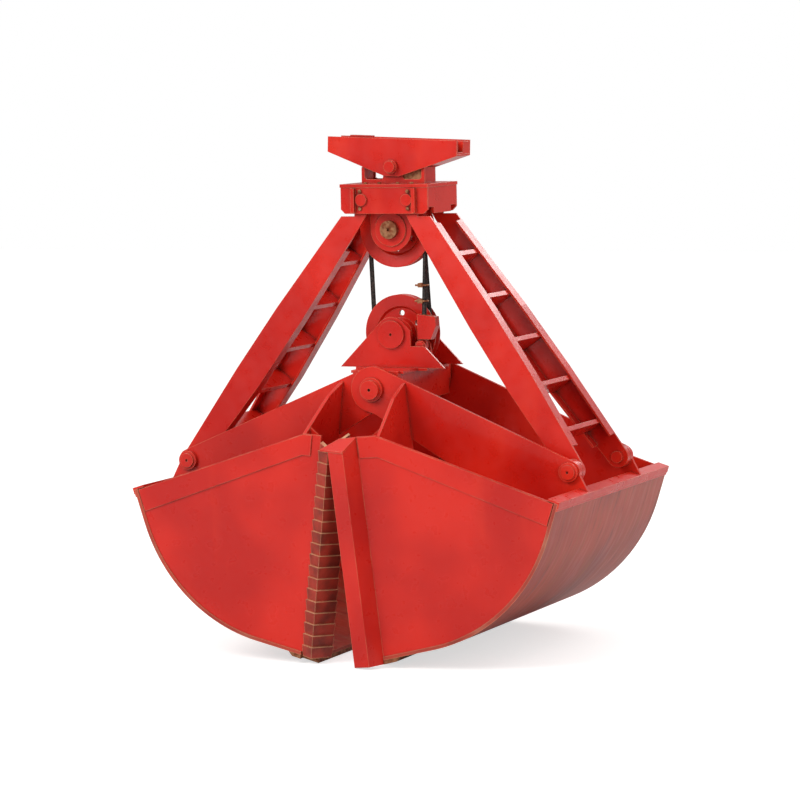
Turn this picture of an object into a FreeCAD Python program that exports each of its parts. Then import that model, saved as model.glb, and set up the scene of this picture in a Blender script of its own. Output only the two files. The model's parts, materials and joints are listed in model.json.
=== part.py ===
"""Clamshell bucket: a mechanical rope grab with two hinged shells.

Millimetres, +Z up, origin on the ground under the middle of the grab. The
shells hinge on the lower crosshead about an axis along Y. The front is -Y.
Each shell is drawn closed, about its own hinge axis, and then turned open to
the angle at which the grab stands on its lips.
"""
import FreeCAD, Part
from FreeCAD import Vector
from math import atan2, cos, degrees, hypot, pi, radians, sin, tan
import os

os.makedirs("parts", exist_ok=True)

# ---- shells -------------------------------------------------------------
REST_OPENING = 6.5          # degrees each shell stands open at rest
SHELL_WIDTH = 1852.0        # along the hinge axis, over the rolled plate
LIP_DEPTH = 1556.0          # hinge axis down to the rolled plate at the mouth
LIP_ANGLE = 7.0             # slope of the straight lip stretch when closed
BACK_ANGLE = 66.0           # slope of the straight back stretch when closed
ROLL_RADIUS = 1000.0        # bend of the rolled plate
BACK_X = 1275.0             # top outer corner of the rolled plate
BACK_DROP = 731.0           # the same corner, below the hinge axis
MOUTH_GAP = 2.0             # each lip stops this short of the middle
ROLLED_PLATE = 20.0
SIDE_PLATE = 16.0
SIDE_INSET = 6.0            # side plate face inside the rolled plate's end
SIDE_TOP_DROP = 236.0       # flat top of the side plate, below the hinge
SHOULDER_X = 200.0          # where that flat top turns down to the back
SHOULDER_DROP = 6.0
DOUBLER_HEIGHT = 122.0
DOUBLER_PLATE = 8.0
LIP_LENGTH = 185.0
LIP_PLATE = 26.0
RIM_WIDTH = 62.0            # rim plate inward from the back's outer face
RIM_PLATE = 14.0
RIM_LIP = 10.0              # the rim stands this far proud of the back
RIM_LIP_HEIGHT = 26.0
RIM_SEAT_GAP = 3.0          # side plates end this far under the rim
WEAR_STRIP_HEIGHT = 18.0
WEAR_STRIP_PLATE = 6.0

# ---- webs, gussets and the two hinges of a shell --------------------------
REACH = 1320.0              # hinge axis to arm pin
REACH_ANGLE = 26.66         # the arm pin lies this far below level, closed
WEB_PLATE = 20.0
OUTER_WEB_FACE = 450.0      # outer face of the right shell's webs
WEB_GAP = 6.0               # between the two shells' webs
HINGE_EYE_RADIUS = 135.0
ARM_EYE_RADIUS = 66.0
WEB_TOE_X = 1128.0          # lower end of the web, on the rolled plate
GUSSET_PLATE = 18.0
GUSSET_KNEE = 0.62          # where the gusset's top edge changes slope
GUSSET_RIB = 70.0
HINGE_PIN_RADIUS = 45.0
HINGE_COLLAR_RADIUS = 72.0
HINGE_CAP_RADIUS = 57.0
ARM_PIN_RADIUS = 35.0
ARM_PIN_CAP_RADIUS = 57.0
PIN_CLEARANCE = 0.05        # radial, every turning pin
FACE_CLEARANCE = 0.5        # between faces that turn past each other

# ---- mouth bars -----------------------------------------------------------
COVER_EDGE = 78.0           # the right side plates stop here
COVER_RIDGE = (25.0, 99.0)  # x and height proud of the side plate
COVER_FREE = (-77.0, 79.0)
COVER_PLATE = 14.0
CAP_SLOPE = 0.69
CAP_TIP = (-130.0, 68.0)
CAP_PLATE = 12.0
FOOT_PLATE = 22.0
FOOT_CHAMFER = 46.0
TOOTH_EDGE = 92.0           # the left side plates stop this far outside
TOOTH_RIDGE = (-20.0, 40.0)
TOOTH_FREE = (52.0, -88.0)
TOOTH_PLATE = 16.0
TOOTH_COUNT = 18
TOOTH_PROUD = 13.0
TOOTH_FIRST_DROP = 325.0
TOOTH_GAP = 4.0
CORNER_ROOM = 14.0          # round a mouth bar where the lip is notched for it
MOUTH_BAR_RISE = 8.0        # bars end this far above the lip's inner corner
TOOTH_CAP_GAP = 30.0        # toothed bar below the cover's cap

# ---- head -----------------------------------------------------------------
HEAD_PIN_X = 147.0
HEAD_PIN_RISE = 1109.0      # head pins above the shell hinge at rest
HEAD_LENGTH = 564.0
HEAD_WIDTH = 446.0
HEAD_PLATE = 16.0
HEAD_BELOW_PIN = 82.0
HEAD_ABOVE_PIN = 74.0
HEAD_TOP_PLATE = 20.0
HEAD_TOP_OVERHANG = 4.0
HEAD_CHAMFER = 26.0
HEAD_NOTCH_HEIGHT = 38.0
HEAD_NOTCH_INNER = 128.0
KEEPER_X = 197.0
KEEPER_SIZE = (22.0, 26.0, 146.0)
HEAD_PIN_RADIUS = 36.0
HEAD_PIN_PROUD = 13.0
BOLT_RADIUS = 11.0
BOLT_HEAD = 10.0
BOLT_OFFSET = 52.0          # keeper bolts above and below a head pin

# ---- sheaves and closing rope ----------------------------------------------
SHEAVE_RADIUS = 230.0
SHEAVE_WIDTH = 68.0
ROPE_LINE_RADIUS = 183.0    # rope centre on a sheave
ROPE_RADIUS = 14.0
ROPE_SEAT_GAP = 0.8
SHEAVE_LIP = 5.0            # rim thickness at the mouth of the groove
SHEAVE_WEB = 22.0
HUB_RADIUS = 78.0
HUB_WIDTH = 90.0
BUSH_WALL = 8.0
SHAFT_RADIUS = 40.0
SPACER_RADIUS = 56.0
UPPER_SHAFT_BELOW_PIN = 180.0
UPPER_SHEAVE_Y = -30.0
LOWER_SHAFT_RISE = 303.0
LOWER_SHEAVE_Y = 20.0
HANGER_FACE = 130.0
HANGER_PLATE = 20.0
HANGER_RADIUS = 132.0
HANGER_BOSS = 100.0
UPPER_CAP = (54.0, 30.0)    # radius and thickness of a shaft end cap
LOWER_CAP = (84.0, 18.0)
LEAD_X = 125.0              # where the closing rope enters the head
ROLLER_RADIUS = 22.0
ROLLER_LENGTH = 116.0
ROLLER_PIN_RADIUS = 11.0
ROLLER_ROPE_GAP = 1.5
ROLLER_RISE = 161.0         # above the head pins

# ---- balance beam and its stand ---------------------------------------------
BEAM_PIN_RISE = 193.0       # above the head pins
BEAM_TILT = 2.3             # degrees, right end down
BEAM_LENGTH = 840.0
BEAM_FACE = 104.0
BEAM_PLATE = 16.0
BEAM_TOP = 168.0            # above the beam pin
BEAM_END_HEIGHT = 92.0
BEAM_FLAT = 98.0
BEAM_BOTTOM = 56.0          # below the beam pin
BEAM_PIN_RADIUS = 30.0
BEAM_COLLAR = (42.0, 22.0)
BEAM_CAP = (34.0, 18.0)
FLOOR_INNER_X = 240.0
FLOOR_PLATE = 10.0
STAND_LENGTH = 410.0
STAND_FACE = 84.0
STAND_PLATE = 14.0
STAND_HEIGHT = 112.0
STAND_LUG_RADIUS = 56.0
STAND_SILL = 24.0
WEDGE_ROPE_GAP = 34.0

# ---- arms -------------------------------------------------------------------
ARM_TOP_FACE = 190.0        # outer face of a stringer at the head pins
ARM_FOOT_FACE = 372.0       # and at the shell pins
ARM_PLATE = 14.0
ARM_FLANGE = 12.0
ARM_DEPTH = 88.0
ARM_TOP_EYE = 58.0
ARM_TOP_BORE = 40.0
ARM_NECK = 58.0
ARM_SHOULDER = 142.0        # the shoulder outside the head pins
ARM_SHOULDER_DROP = 98.0    # and below them
ARM_OUTER = 84.0            # stringer edges each side of the pins' line
ARM_INNER = 94.0
ARM_BELLY = (850.0, 1300.0) # full depth between these places along the arm
INNER_FLANGE_START = 320.0
FLANGE_END = 120.0          # flanges stop this far short of the shell pin
ARM_BOSS_FACE = 400.0
RUNG_COUNT = 5
RUNG_FIRST = 430.0
RUNG_PITCH = 311.0
RUNG_PLATE = 28.0
RUNG_GAP = 1.6              # to the flanges, which taper

# ---- lower crosshead and block ------------------------------------------------
CROSSHEAD_TOP = 105.0
CROSSHEAD_BOTTOM = 95.0
CROSSHEAD_LENGTH = 340.0
CROSSHEAD_PLATE = 16.0
SHEAVE_ROOM = 8.0           # round the sheave where it dips into the deck
LUG_FACE = 398.0
LUG_PLATE = 28.0
LUG_RADIUS = 100.0
CHEEK_FACE = 150.0
CHEEK_PLATE = 16.0
CHEEK_BASE = 225.0
CHEEK_RADIUS = 104.0
CHEEK_STEP = 122.0          # front cheek is cut back here for the socket
SOCKET_Y = -75.0
SOCKET_WIDTH = 116.0
SOCKET_HEIGHT = 150.0
SOCKET_DEPTH = 60.0
SOCKET_WALL = 14.0
SOCKET_PIN = (172.0, 232.0) # x, height above the hinge
SOCKET_PIN_RADIUS = 18.0
SOCKET_LUG_PLATE = 15.0
SOCKET_LUG_GAP = 1.0
CLIP_RISE = (500.0, 594.0)
CLIP_GAP = 0.3
CLIP_ROD = 6.0

# ---- derived places -----------------------------------------------------------
SIDE_FACE = SHELL_WIDTH / 2 - SIDE_INSET
LIP_LOW = LIP_DEPTH + LIP_PLATE
HINGE_Z = LIP_LOW * cos(radians(REST_OPENING)) - MOUTH_GAP * sin(radians(REST_OPENING))
HEAD_PIN_Z = HINGE_Z + HEAD_PIN_RISE
HEAD_FLOOR = HEAD_PIN_Z - HEAD_BELOW_PIN
HEAD_DECK = HEAD_PIN_Z + HEAD_ABOVE_PIN + HEAD_TOP_PLATE
UPPER_SHAFT_Z = HEAD_PIN_Z - UPPER_SHAFT_BELOW_PIN
LOWER_SHAFT_Z = HINGE_Z + LOWER_SHAFT_RISE
BEAM_PIN_Z = HEAD_PIN_Z + BEAM_PIN_RISE
ROLLER_Z = HEAD_PIN_Z + ROLLER_RISE
REST_REACH_ANGLE = radians(REACH_ANGLE - REST_OPENING)
SHELL_PIN_X = REACH * cos(REST_REACH_ANGLE)
SHELL_PIN_Z = HINGE_Z - REACH * sin(REST_REACH_ANGLE)
ARM_LENGTH = hypot(SHELL_PIN_X - HEAD_PIN_X, HEAD_PIN_Z - SHELL_PIN_Z)
INNER_WEB_FACE = OUTER_WEB_FACE - WEB_PLATE - WEB_GAP

X = Vector(1, 0, 0)
Y = Vector(0, 1, 0)
Z = Vector(0, 0, 1)
ORIGIN = Vector(0, 0, 0)


# ---- solid helpers --------------------------------------------------------------
def box(x0, x1, y0, y1, z0, z1):
    return Part.makeBox(x1 - x0, y1 - y0, z1 - z0, Vector(x0, y0, z0))


def rod(x, z, radius, y0, y1):
    """A cylinder along Y."""
    return Part.makeCylinder(radius, y1 - y0, Vector(x, y0, z), Y)


def plate_xz(points, y0, y1):
    wire = Part.makePolygon([Vector(x, y0, z) for x, z in points + points[:1]])
    return Part.Face(wire).extrude(Vector(0, y1 - y0, 0))


def plate_xy(points, z0, z1):
    wire = Part.makePolygon([Vector(x, y, z0) for x, y in points + points[:1]])
    return Part.Face(wire).extrude(Vector(0, 0, z1 - z0))


def join(solids):
    """Fuse touching solids into one clean solid."""
    first = solids[0]
    if len(solids) > 1:
        first = first.fuse(solids[1:])
    return first.removeSplitter()


def mirrored(shape, normal):
    return shape.mirror(ORIGIN, normal)


def both_faces(shape):
    """The front piece and its mirror image at the rear."""
    return [shape, mirrored(shape, Y)]


def link_outline(a, radius_a, b, radius_b):
    """Corner points of the two outer tangents between two circles."""
    ax, az = a
    bx, bz = b
    heading = atan2(bz - az, bx - ax)
    spread = pi / 2 - atan2(radius_b - radius_a, hypot(bx - ax, bz - az))
    spread = pi - spread
    points = []
    for side in (1, -1):
        angle = heading + side * spread
        points.append((ax + radius_a * cos(angle), az + radius_a * sin(angle)))
        points.append((bx + radius_b * cos(angle), bz + radius_b * sin(angle)))
    return [points[0], points[1], points[3], points[2]]


# ---- one shell, closed, about its hinge axis ----------------------------------------
def rolled_edges(inset, start_x):
    """Lip line, bend and back line of the rolled plate, moved in by inset."""
    lip = radians(LIP_ANGLE)
    back = radians(BACK_ANGLE)
    radius = ROLL_RADIUS - inset
    ox = ROLL_RADIUS * sin(lip)
    oz = -LIP_DEPTH + ROLL_RADIUS * cos(lip)
    bx = BACK_X - ROLL_RADIUS * sin(back)
    bz = -BACK_DROP + ROLL_RADIUS * cos(back)
    turn = cos(lip) * sin(back) - sin(lip) * cos(back)
    run = ((bx + ox) * sin(back) - (bz - oz) * cos(back)) / turn
    cx = -ox + run * cos(lip)
    cz = oz + run * sin(lip)

    def on_bend(angle):
        return Vector(cx + radius * sin(angle), 0, cz - radius * cos(angle))

    shift = inset / cos(lip)
    start = Vector(start_x, 0, -LIP_DEPTH + start_x * tan(lip) + shift)
    end = Vector(BACK_X - inset * sin(back), 0, -BACK_DROP + inset * cos(back))
    bend = Part.Arc(on_bend(lip), on_bend((lip + back) / 2), on_bend(back)).toShape()
    return [Part.makeLine(start, on_bend(lip)), bend, Part.makeLine(on_bend(back), end)]


def closed_outline(edges, points):
    """Close a chain of edges through the given corner points."""
    corners = [edges[-1].Vertexes[-1].Point] + points + [edges[0].Vertexes[0].Point]
    lines = [Part.makeLine(a, b) for a, b in zip(corners, corners[1:])]
    return Part.Face(Part.Wire(edges + lines))


def along_y(face, y0, y1):
    face.translate(Vector(0, y0, 0))
    return face.extrude(Vector(0, y1 - y0, 0))


def side_slope():
    """Fall of the side plate's top edge from its shoulder to the rim."""
    return (SIDE_TOP_DROP + SHOULDER_DROP - BACK_DROP - RIM_SEAT_GAP) / (BACK_X - SHOULDER_X)


def side_top(x):
    """Height of the side plate's top edge at x."""
    if x < SHOULDER_X:
        return -SIDE_TOP_DROP - SHOULDER_DROP * x / SHOULDER_X
    return -SIDE_TOP_DROP - SHOULDER_DROP + side_slope() * (x - SHOULDER_X)


def side_plate(mouth_x):
    back = radians(BACK_ANGLE)
    edges = rolled_edges(ROLLED_PLATE, mouth_x)
    end = edges[-1].Vertexes[-1].Point
    reach = (side_top(end.x) - end.z) / (sin(back) - side_slope() * cos(back))
    corner = end + Vector(cos(back), 0, sin(back)) * reach
    edges[-1] = Part.makeLine(edges[-1].Vertexes[0].Point, corner)
    top = [Vector(SHOULDER_X, 0, side_top(SHOULDER_X)), Vector(mouth_x, 0, side_top(mouth_x))]
    plate = along_y(closed_outline(edges, top), -SIDE_FACE, -SIDE_FACE + SIDE_PLATE)
    return both_faces(plate)


def whole_rolled_plate():
    """The rolled bottom and back, before its corners are notched."""
    half = SHELL_WIDTH / 2
    inner = rolled_edges(ROLLED_PLATE, MOUTH_GAP)
    outer = rolled_edges(0, MOUTH_GAP)
    back = Part.makeLine(outer[-1].Vertexes[-1].Point, inner[-1].Vertexes[-1].Point)
    mouth = Part.makeLine(inner[0].Vertexes[0].Point, outer[0].Vertexes[0].Point)
    loop = Part.sortEdges(outer + [back] + inner + [mouth])[0]
    return along_y(Part.Face(Part.Wire(loop)), -half, half)


def rolled_plate(corner_notch):
    return [cut_notches(whole_rolled_plate(), corner_notch)]


def cut_notches(plate, corner_notch):
    notch_x, notch_y = corner_notch
    half = SHELL_WIDTH / 2
    notch = box(-notch_x, notch_x, -half - 1, -notch_y, -LIP_DEPTH - 100, -LIP_DEPTH + 100)
    return plate.cut([notch, mirrored(notch, Y)])


def lip(corner_notch):
    """Thick cutting lip under the mouth edge of the rolled plate."""
    slope = tan(radians(LIP_ANGLE))
    x1 = LIP_LENGTH
    bevel = LIP_PLATE
    points = [(MOUTH_GAP, -LIP_DEPTH + MOUTH_GAP * slope), (x1, -LIP_DEPTH + x1 * slope),
              (x1 - bevel, -LIP_LOW + x1 * slope), (MOUTH_GAP, -LIP_LOW)]
    half = SHELL_WIDTH / 2
    return [cut_notches(plate_xz(points, -half, half), corner_notch)]


def back_point(outward, down):
    """A place measured from the back's top corner, square to the back."""
    back = radians(BACK_ANGLE)
    x = BACK_X + outward * sin(back) - down * cos(back)
    z = -BACK_DROP - outward * cos(back) - down * sin(back)
    return (x, z)


def rim_bar(web_face):
    """Rim plate over the top of the back, with its lip and the strip below.

    The rim is notched where the webs run out over it.
    """
    half = SHELL_WIDTH / 2
    section = [(-RIM_WIDTH, -RIM_PLATE), (RIM_LIP, -RIM_PLATE), (RIM_LIP, RIM_LIP_HEIGHT),
               (0, RIM_LIP_HEIGHT), (0, 0), (-RIM_WIDTH, 0)]
    bar = plate_xz([back_point(*place) for place in section], -half, half)
    slot = [(-RIM_WIDTH - 9, -RIM_PLATE - 9), (0, -RIM_PLATE - 9), (0, 9), (-RIM_WIDTH - 9, 9)]
    notch = plate_xz([back_point(*place) for place in slot], -web_face, -web_face + WEB_PLATE)
    bar = bar.cut([notch, mirrored(notch, Y)])
    low = RIM_LIP_HEIGHT + WEAR_STRIP_HEIGHT
    strip = [(0, RIM_LIP_HEIGHT), (WEAR_STRIP_PLATE, RIM_LIP_HEIGHT), (WEAR_STRIP_PLATE, low), (0, low)]
    return [bar, plate_xz([back_point(*place) for place in strip], -half, half)]


def doubler(mouth_x):
    """Reinforcing plates along the top edge of the side plates."""
    end = rolled_edges(ROLLED_PLATE, mouth_x)[-1].Vertexes[-1].Point.x - DOUBLER_PLATE
    top = [(mouth_x, side_top(mouth_x) - 4), (SHOULDER_X, side_top(SHOULDER_X) - 4),
           (end, side_top(end) - 4)]
    low = [(x, z - DOUBLER_HEIGHT) for x, z in reversed(top)]
    low[0] = (end - DOUBLER_HEIGHT / tan(radians(BACK_ANGLE)), low[0][1])
    return both_faces(plate_xz(top + low, -SIDE_FACE - DOUBLER_PLATE, -SIDE_FACE))


def arm_pin_place():
    angle = radians(REACH_ANGLE)
    return (REACH * cos(angle), -REACH * sin(angle))


def web(face):
    """Plates from the hinge eye past the arm pin to the rolled back."""
    px, pz = arm_pin_place()
    y0 = -face
    y1 = -face + WEB_PLATE
    link = plate_xz(link_outline((0, 0), HINGE_EYE_RADIUS, (px, pz), ARM_EYE_RADIUS), y0, y1)
    edges = rolled_edges(ROLLED_PLATE, MOUTH_GAP)
    end = edges[-1].Vertexes[-1].Point
    toe = WEB_TOE_X
    toe_z = end.z - (end.x - toe) * tan(radians(BACK_ANGLE))
    flare = plate_xz([(px, pz + ARM_EYE_RADIUS), (px + 30, pz + 58), back_point(0, -RIM_PLATE),
                      (BACK_X, -BACK_DROP), (end.x, end.z), (toe, toe_z),
                      (-20, -HINGE_EYE_RADIUS * 0.97), (0, 0)], y0, y1)
    body = join([link, rod(0, 0, HINGE_EYE_RADIUS, y0, y1), rod(px, pz, ARM_EYE_RADIUS, y0, y1), flare])
    body = body.cut(whole_rolled_plate())
    spacer_end = -INNER_WEB_FACE + WEB_PLATE
    if face > INNER_WEB_FACE:
        body = join([body, rod(px, pz, ARM_EYE_RADIUS, y1, spacer_end)])
    body = body.cut([rod(0, 0, HINGE_PIN_RADIUS + PIN_CLEARANCE, y0 - 1, spacer_end + 1),
                     rod(px, pz, ARM_PIN_RADIUS, y0 - 1, spacer_end + 1)])
    return both_faces(body)


def web_top(x):
    """Height of the web's top edge at x."""
    a, b = link_outline((0, 0), HINGE_EYE_RADIUS, arm_pin_place(), ARM_EYE_RADIUS)[:2]
    return a[1] + (b[1] - a[1]) * (x - a[0]) / (b[0] - a[0])


def gusset(face):
    """Cross plates from the side plate's shoulder up to the web."""
    x0 = SHOULDER_X
    x1 = x0 + GUSSET_PLATE
    outer = -SIDE_FACE + SIDE_PLATE
    inner = -face
    low = side_top(x1)
    high = web_top(x1) - 12
    knee_y = outer + (inner - outer) * GUSSET_KNEE
    knee_z = low + (high - low) * (GUSSET_KNEE + 0.12)
    points = [(outer, low), (knee_y, knee_z), (inner, high), (inner, low - 230), (outer, low - 90)]
    wire = Part.makePolygon([Vector(x0, y, z) for y, z in points + points[:1]])
    plate = Part.Face(wire).extrude(Vector(GUSSET_PLATE, 0, 0))
    rib_y = outer + 60
    rib = plate_xz([(x0, low + 40), (x0 - GUSSET_RIB, low - 6), (x0 - GUSSET_RIB, low - 60),
                    (x0, low - 110)], rib_y, rib_y + 12)
    return both_faces(join([plate, rib]))


def shell_arm_pins(face):
    """Pins that carry the arm's feet, with their round caps outside."""
    px, pz = arm_pin_place()
    inner = -ARM_FOOT_FACE + ARM_PLATE + 24
    pin = join([rod(px, pz, ARM_PIN_RADIUS, -face - 20, inner),
                rod(px, pz, ARM_PIN_CAP_RADIUS, -face - 24, -face),
                rod(px, pz, ARM_PIN_CAP_RADIUS - 14, -face - 34, -face - 24)])
    socket = box(px - 7, px + 7, -face - 40, -face - 26, pz - 7, pz + 7)
    return both_faces(pin.cut(socket))


# ---- mouth bars -------------------------------------------------------------------------
def bent_plate(points, thickness, z0, z1):
    """A plate folded along a line of plan points, thick towards the shell."""
    return plate_xy(points + offset_line(points, thickness)[::-1], z0, z1)


def offset_line(points, distance):
    """The plan line moved sideways towards +Y, corners mitred."""
    moved = []
    normals = []
    for (x0, y0), (x1, y1) in zip(points, points[1:]):
        run = hypot(x1 - x0, y1 - y0)
        side = 1 if x1 > x0 else -1
        normals.append((-(y1 - y0) / run * side, (x1 - x0) / run * side))
    for index, (px, py) in enumerate(points):
        before = normals[max(index - 1, 0)]
        after = normals[min(index, len(normals) - 1)]
        bx = before[0] + after[0]
        by = before[1] + after[1]
        scale = 2 * distance / (bx * bx + by * by)
        moved.append((px + bx * scale, py + by * scale))
    return moved


def cover_plan():
    """Plan points of the cover bar: plate edge, ridge, free edge."""
    return [(COVER_EDGE, -SIDE_FACE), (COVER_RIDGE[0], -SIDE_FACE - COVER_RIDGE[1]),
            (COVER_FREE[0], -SIDE_FACE - COVER_FREE[1])]


def cap_height(y):
    """Top of the cover's sloping cap at plan place y."""
    return -SIDE_TOP_DROP - 4 + CAP_SLOPE * (y + SIDE_FACE)


def slope_wedge(drop, thickness):
    """A big sloping slab parallel to the cap, its top face drop below it."""
    y0 = -SIDE_FACE - 300
    y1 = -SIDE_FACE + 300
    top0 = cap_height(y0) - drop
    top1 = cap_height(y1) - drop
    wire = Part.makePolygon([Vector(-400, y0, top0), Vector(-400, y1, top1),
                             Vector(-400, y1, top1 - thickness),
                             Vector(-400, y0, top0 - thickness), Vector(-400, y0, top0)])
    return Part.Face(wire).extrude(Vector(800, 0, 0))


def cover_bars():
    """Folded cover bars of the right shell, with cap and foot."""
    plan = cover_plan()
    low = -LIP_DEPTH + MOUTH_BAR_RISE
    fold = bent_plate(plan[::-1], COVER_PLATE, low, 0)
    fold = fold.common(slope_wedge(CAP_PLATE, 4000))
    cap_plan = [(COVER_EDGE, -SIDE_FACE), (COVER_EDGE - 109, -SIDE_FACE),
                (CAP_TIP[0], -SIDE_FACE - CAP_TIP[1]),
                (COVER_RIDGE[0], -SIDE_FACE - COVER_RIDGE[1] - 5)]
    cap = plate_xy(cap_plan, -900, 0).common(slope_wedge(0, CAP_PLATE))
    foot_plan = [(COVER_EDGE, -SIDE_FACE), plan[1], plan[2],
                 (COVER_FREE[0], -SIDE_FACE - 30), (COVER_EDGE - 60, -SIDE_FACE)]
    foot = plate_xy(foot_plan, low - FOOT_PLATE, low)
    return both_faces(join([fold, cap, foot]))


def tooth_plan(proud):
    """Plan points of the toothed bar, pushed out by proud."""
    points = [(-TOOTH_EDGE, -SIDE_FACE), (TOOTH_RIDGE[0], -SIDE_FACE - TOOTH_RIDGE[1]),
              (TOOTH_FREE[0], -SIDE_FACE - TOOTH_FREE[1])]
    return offset_line(points, -proud) if proud else points


def tooth(top, height):
    """One tooth: full depth at its flat top, running out at its foot."""
    wires = []
    root = offset_line(tooth_plan(0), TOOTH_PLATE / 2)[::-1]
    for proud, z in ((TOOTH_PROUD, top), (TOOTH_PROUD / 20, top - height)):
        ring = tooth_plan(proud) + root
        wires.append(Part.makePolygon([Vector(x, y, z) for x, y in ring + ring[:1]]))
    return Part.makeLoft(wires, True, True)


def toothed_bars():
    """Folded bars of the left shell with a column of cross teeth."""
    low = -LIP_DEPTH + MOUTH_BAR_RISE
    fold = bent_plate(tooth_plan(0), TOOTH_PLATE, low, 0)
    fold = fold.common(slope_wedge(CAP_PLATE + TOOTH_CAP_GAP, 4000))
    pitch = (-TOOTH_FIRST_DROP - low) / TOOTH_COUNT
    teeth = [tooth(-TOOTH_FIRST_DROP - index * pitch, pitch - TOOTH_GAP) for index in range(TOOTH_COUNT)]
    return both_faces(join([fold] + teeth))


# ---- placing shells ------------------------------------------------------------------------
def stand_open(shapes, side):
    """Turn a closed shell open and lift it to the hinge; side is 1 or -1."""
    placed = []
    for shape in shapes:
        copy = shape.copy()
        copy.rotate(ORIGIN, Vector(0, -side, 0), REST_OPENING)
        copy.translate(Vector(0, 0, HINGE_Z))
        placed.append(copy)
    return placed


def to_left(shapes):
    return [mirrored(shape, X) for shape in shapes]


def shell_nodes():
    nodes = {}
    cover_notch = (COVER_EDGE + 1, SIDE_FACE + TOOTH_FREE[1] - CORNER_ROOM)
    tooth_notch = (TOOTH_EDGE + TOOTH_PROUD, SIDE_FACE - TOOTH_PLATE - CORNER_ROOM)
    right = {
        "right_shell_side_plates": side_plate(COVER_EDGE),
        "right_shell_rolled_plate": rolled_plate(cover_notch),
        "right_shell_webs": web(OUTER_WEB_FACE),
        "right_shell_gussets": gusset(OUTER_WEB_FACE),
        "right_shell_rim_bar": rim_bar(OUTER_WEB_FACE),
        "right_shell_doublers": doubler(COVER_EDGE + 10),
        "right_shell_lip": lip(cover_notch),
        "right_shell_cover_bars": cover_bars(),
        "right_shell_arm_pins": shell_arm_pins(OUTER_WEB_FACE),
    }
    left = {
        "left_shell_side_plates": to_left(side_plate(TOOTH_EDGE)),
        "left_shell_rolled_plate": to_left(rolled_plate(tooth_notch)),
        "left_shell_webs": to_left(web(INNER_WEB_FACE)),
        "left_shell_gussets": to_left(gusset(INNER_WEB_FACE)),
        "left_shell_rim_bar": to_left(rim_bar(INNER_WEB_FACE)),
        "left_shell_doublers": to_left(doubler(TOOTH_EDGE + 56)),
        "left_shell_lip": to_left(lip(tooth_notch)),
        "left_shell_toothed_bars": toothed_bars(),
        "left_shell_arm_pins": to_left(shell_arm_pins(INNER_WEB_FACE)),
    }
    for name, shapes in right.items():
        nodes[name] = stand_open(shapes, 1)
    for name, shapes in left.items():
        nodes[name] = stand_open(shapes, -1)
    return nodes


# ---- arms ------------------------------------------------------------------------------------
def arm_placement():
    """Frame of the right arm's front stringer: X along it, Y outward, Z to the front."""
    top = Vector(HEAD_PIN_X, -ARM_TOP_FACE, HEAD_PIN_Z)
    foot = Vector(SHELL_PIN_X, -ARM_FOOT_FACE, SHELL_PIN_Z)
    along = (foot - top).normalize()
    flat = Vector(SHELL_PIN_X - HEAD_PIN_X, 0, SHELL_PIN_Z - HEAD_PIN_Z).normalize()
    outward = Vector(-flat.z, 0, flat.x)
    front = along.cross(outward)
    matrix = FreeCAD.Matrix(along.x, outward.x, front.x, top.x,
                            along.y, outward.y, front.y, top.y,
                            along.z, outward.z, front.z, top.z, 0, 0, 0, 1)
    return FreeCAD.Placement(matrix)


def arm_local(x, z):
    """Distance along the arm and outward of it, for a place in the XZ plane."""
    dx = x - HEAD_PIN_X
    dz = z - HEAD_PIN_Z
    ux = (SHELL_PIN_X - HEAD_PIN_X) / ARM_LENGTH
    uz = (SHELL_PIN_Z - HEAD_PIN_Z) / ARM_LENGTH
    return (dx * ux + dz * uz, -dx * uz + dz * ux)


def arm_edges():
    """Outer and inner edge of a stringer: distance along it and sideways."""
    shoulder = arm_local(HEAD_PIN_X + ARM_SHOULDER, HEAD_PIN_Z - ARM_SHOULDER_DROP)
    outer = [shoulder, (ARM_BELLY[0], ARM_OUTER), (ARM_BELLY[1], ARM_OUTER), (ARM_LENGTH, ARM_EYE_RADIUS)]
    inner = [(120.0, -72.0), (ARM_BELLY[0], -ARM_INNER), (ARM_BELLY[1], -ARM_INNER), (ARM_LENGTH, -ARM_EYE_RADIUS)]
    return outer, inner


def edge_at(edge, along):
    """Sideways place of a stringer's edge at a distance along it."""
    for (a, value_a), (b, value_b) in zip(edge, edge[1:]):
        if along <= b:
            return value_a + (value_b - value_a) * (along - a) / (b - a)
    return edge[-1][1]


def edge_strip(a, b, depth, side):
    """A flange inside the edge from a to b; side is 1 outward, -1 inward."""
    points = [a, b, (b[0], b[1] - side * ARM_FLANGE), (a[0], a[1] - side * ARM_FLANGE)]
    wire = Part.makePolygon([Vector(x, y, -depth) for x, y in points + points[:1]])
    return Part.Face(wire).extrude(Vector(0, 0, depth))


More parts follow.
